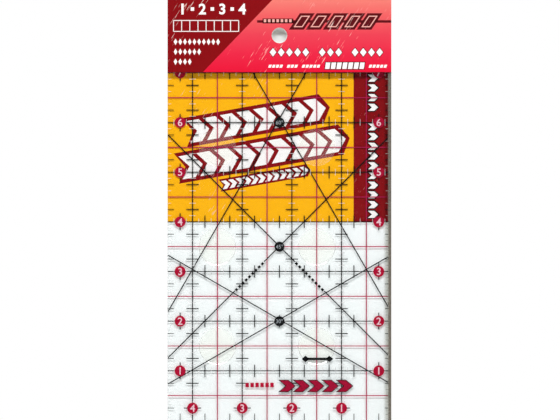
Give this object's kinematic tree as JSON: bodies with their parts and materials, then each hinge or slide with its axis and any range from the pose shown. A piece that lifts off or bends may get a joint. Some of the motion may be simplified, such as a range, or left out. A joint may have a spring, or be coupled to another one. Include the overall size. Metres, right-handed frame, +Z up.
{
  "type": "quilting ruler",
  "caption": "Clear rectangular quilting ruler with printed inch grid, angle lines, honing edge strip, grip dots and hang hole, in its folded hanging card.",
  "frame": {"origin": "middle of the hang hole, on the plate's printed back face", "axes": "+Z up along the ruler's length, as it hangs from its hole; the front, read face looks along -Y; the honing strip is at +X"},
  "size_m": [0.1142, 0.0052, 0.2167],
  "materials": {
    "clear_acrylic": "clear cast sheet, polished",
    "honing_grit": "fine grit in resin",
    "black_ink": "screen print",
    "red_ink": "screen print",
    "disc_ink": "screen print",
    "white_ink": "screen print",
    "grip_film": "frosted clear film",
    "yellow_board": "printed coated board",
    "red_board": "printed coated board"
  },
  "bodies": {
    "ruler": {"ruler_plate": "clear_acrylic", "honing_strip": "honing_grit", "black_grid": "black_ink", "red_grid": "red_ink", "number_disc_left_1": "disc_ink", "number_disc_left_2": "disc_ink", "number_disc_left_3": "disc_ink", "number_disc_left_4": "disc_ink", "number_disc_left_5": "disc_ink", "number_disc_left_6": "disc_ink", "number_disc_left_7": "disc_ink", "number_disc_left_8": "disc_ink", "number_disc_right_1": "disc_ink", "number_disc_right_2": "disc_ink", "number_disc_right_3": "disc_ink", "number_disc_right_4": "disc_ink", "number_disc_right_5": "disc_ink", "number_disc_right_6": "disc_ink", "number_disc_right_7": "disc_ink", "number_disc_right_8": "disc_ink", "number_disc_bottom_1": "disc_ink", "number_disc_bottom_2": "disc_ink", "number_disc_bottom_3": "disc_ink", "number_disc_bottom_4": "disc_ink", "angle_disc_60": "black_ink", "angle_disc_45": "black_ink", "angle_disc_30": "black_ink", "grip_dot_1": "grip_film", "grip_dot_2": "grip_film", "grip_dot_3": "grip_film", "grip_dot_4": "grip_film", "grip_dot_5": "grip_film", "grip_dot_6": "grip_film", "grip_dot_7": "grip_film", "grip_dot_8": "grip_film"},
    "card": {"card_back_panel": "yellow_board", "card_spine": "red_board"},
    "flap": {"card_front_panel": "red_board"}
  },
  "joints": [
    {"name": "card_slide", "type": "slide", "parent": "ruler", "child": "card", "axis": [0, 0, 1], "range_m": [0, 0.12]},
    {"name": "flap_fold", "type": "hinge", "parent": "card", "child": "flap", "pos_m": [0, -0.00352, 0.01957], "axis": [-1, 0, 0], "range_deg": [0, 170]}
  ]
}
